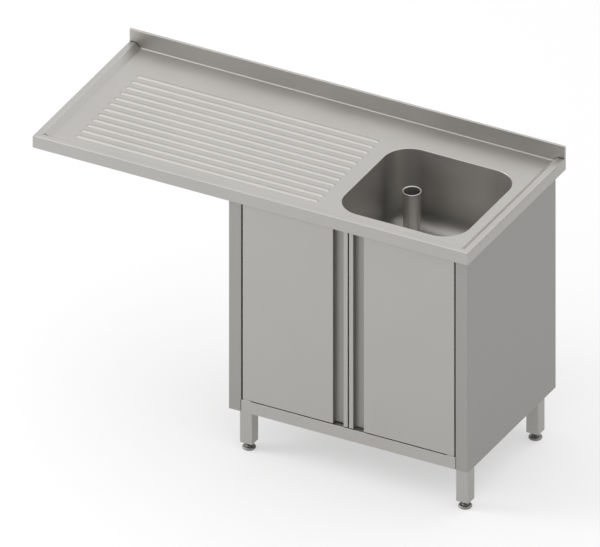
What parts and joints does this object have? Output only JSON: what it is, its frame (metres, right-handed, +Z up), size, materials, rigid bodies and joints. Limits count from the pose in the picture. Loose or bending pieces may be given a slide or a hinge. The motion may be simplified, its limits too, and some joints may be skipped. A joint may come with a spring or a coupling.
{
  "type": "sink cabinet",
  "caption": "Free-standing stainless steel sink cabinet: bowl over a two-door cabinet, ribbed draining board over a free appliance bay, backsplash and adjustable feet.",
  "frame": {"origin": "on the floor, under the centre of the worktop", "axes": "+X along the worktop towards the bowl's end, +Y towards the backsplash, +Z up"},
  "size_m": [1.4, 0.6, 0.905],
  "materials": {
    "satin_steel": "satin brushed stainless steel",
    "bowl_steel": "satin drawn stainless steel",
    "pipe_steel": "satin stainless steel tube",
    "frame_steel": "mill-finish stainless steel",
    "bright_steel": "turned and polished stainless steel",
    "plated_steel": "zinc plated",
    "pale_nylon": "moulded nylon",
    "black_nylon": "moulded nylon",
    "black_rubber": "matt rubber",
    "magnet": "coated magnet"
  },
  "bodies": {
    "cabinet": {"worktop": "satin_steel", "left_side_panel": "satin_steel", "right_side_panel": "satin_steel", "bottom_shelf": "satin_steel", "back_panel": "satin_steel", "front_left_leg": "satin_steel", "front_right_leg": "satin_steel", "rear_left_leg": "satin_steel", "rear_right_leg": "satin_steel", "front_top_rail": "satin_steel", "rear_top_rail": "satin_steel", "front_stiffener": "frame_steel", "rear_stiffener": "frame_steel", "cross_stiffeners": "frame_steel", "left_base_rail": "frame_steel", "right_base_rail": "frame_steel", "back_panel_screws": "plated_steel", "worktop_bolts": "plated_steel", "worktop_nuts": "plated_steel", "top_hinge_plates": "plated_steel", "bottom_hinge_plates": "plated_steel", "hinge_screws": "plated_steel", "catch_screws": "plated_steel", "leg_bolts": "plated_steel", "drain_nut": "plated_steel", "hinge_pins": "bright_steel", "drain_body": "bright_steel", "catch_housings": "pale_nylon", "front_left_insert": "black_nylon", "front_right_insert": "black_nylon", "rear_left_insert": "black_nylon", "rear_right_insert": "black_nylon", "door_buffers": "black_rubber", "drain_gasket": "black_rubber", "drain_washer": "black_rubber", "bowl": "bowl_steel", "catch_magnets": "magnet"},
    "left_door": {"left_door_skin": "satin_steel", "left_door_liner": "satin_steel", "left_door_bushes": "pale_nylon", "left_door_strike": "plated_steel"},
    "right_door": {"right_door_skin": "satin_steel", "right_door_liner": "satin_steel", "right_door_bushes": "pale_nylon", "right_door_strike": "plated_steel"},
    "overflow": {"overflow_pipe": "pipe_steel", "overflow_seal": "black_rubber"},
    "front_left_levelling_foot": {"front_left_stem": "bright_steel", "front_left_foot": "bright_steel"},
    "front_right_levelling_foot": {"front_right_stem": "bright_steel", "front_right_foot": "bright_steel"},
    "rear_left_levelling_foot": {"rear_left_stem": "bright_steel", "rear_left_foot": "bright_steel"},
    "rear_right_levelling_foot": {"rear_right_stem": "bright_steel", "rear_right_foot": "bright_steel"}
  },
  "joints": [
    {"name": "left_door_hinge", "type": "hinge", "parent": "cabinet", "child": "left_door", "pos_m": [-0.021, -0.278, 0.4965], "axis": [0, 0, 1], "range_deg": [-105, 0]},
    {"name": "right_door_hinge", "type": "hinge", "parent": "cabinet", "child": "right_door", "pos_m": [0.641, -0.278, 0.4965], "axis": [0, 0, 1], "range_deg": [0, 105]},
    {"name": "overflow_lift", "type": "slide", "parent": "cabinet", "child": "overflow", "axis": [0, 0, 1], "range_m": [0, 0.27]},
    {"name": "front_left_foot_height", "type": "slide", "parent": "cabinet", "child": "front_left_levelling_foot", "axis": [0, 0, -1], "range_m": [-0.008, 0.02]},
    {"name": "front_right_foot_height", "type": "slide", "parent": "cabinet", "child": "front_right_levelling_foot", "axis": [0, 0, -1], "range_m": [-0.008, 0.02]},
    {"name": "rear_left_foot_height", "type": "slide", "parent": "cabinet", "child": "rear_left_levelling_foot", "axis": [0, 0, -1], "range_m": [-0.008, 0.02]},
    {"name": "rear_right_foot_height", "type": "slide", "parent": "cabinet", "child": "rear_right_levelling_foot", "axis": [0, 0, -1], "range_m": [-0.008, 0.02]}
  ]
}
